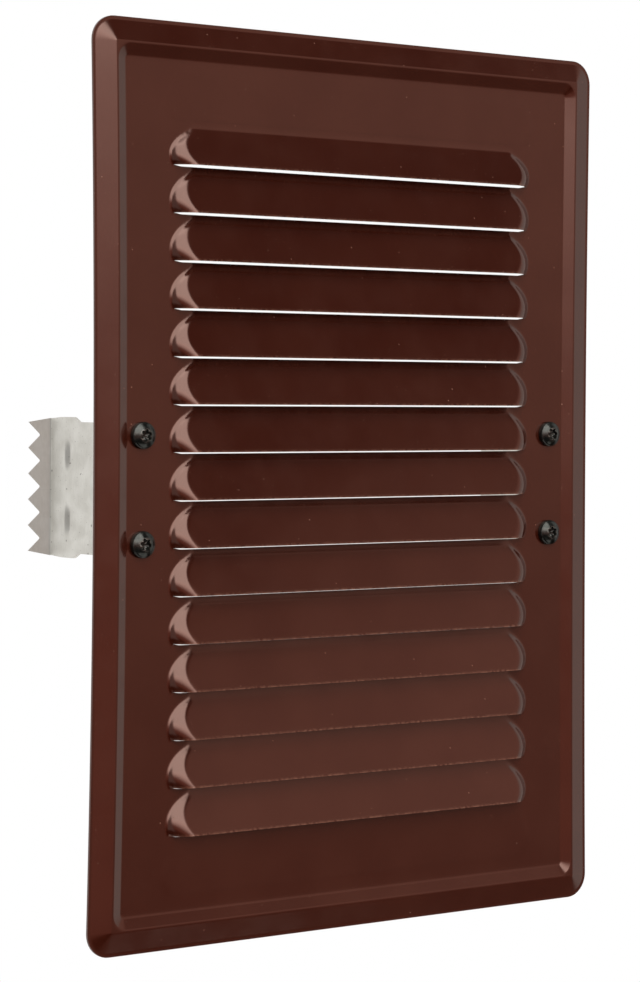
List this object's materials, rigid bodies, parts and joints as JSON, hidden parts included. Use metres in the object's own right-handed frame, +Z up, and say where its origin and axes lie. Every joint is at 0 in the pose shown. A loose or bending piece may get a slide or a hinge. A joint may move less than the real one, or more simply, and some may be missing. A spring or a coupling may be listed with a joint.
{
  "type": "chimney vent grille",
  "caption": "Rectangular louvred cover plate for a chimney or flue opening, held in the flue by a pair of toothed spring clips that are screwed on behind it.",
  "frame": {"origin": "centre of the cover plate on the wall's plane, which its flat outer margin bears on", "axes": "+X to the right as seen from the room, +Y into the flue, +Z up; the louvres face -Y"},
  "size_m": [0.17, 0.0436, 0.24],
  "materials": {
    "painted_sheet": "glossy chocolate brown enamel on pressed sheet steel",
    "galvanised": "bright galvanised sheet with fine dark specks",
    "black_screw": "glossy black plating on steel"
  },
  "bodies": {
    "root": {"grille_plate": "painted_sheet", "clip_left": "galvanised", "clip_right": "galvanised", "screw_upper_left": "black_screw", "screw_lower_left": "black_screw", "screw_upper_right": "black_screw", "screw_lower_right": "black_screw"}
  },
  "joints": []
}
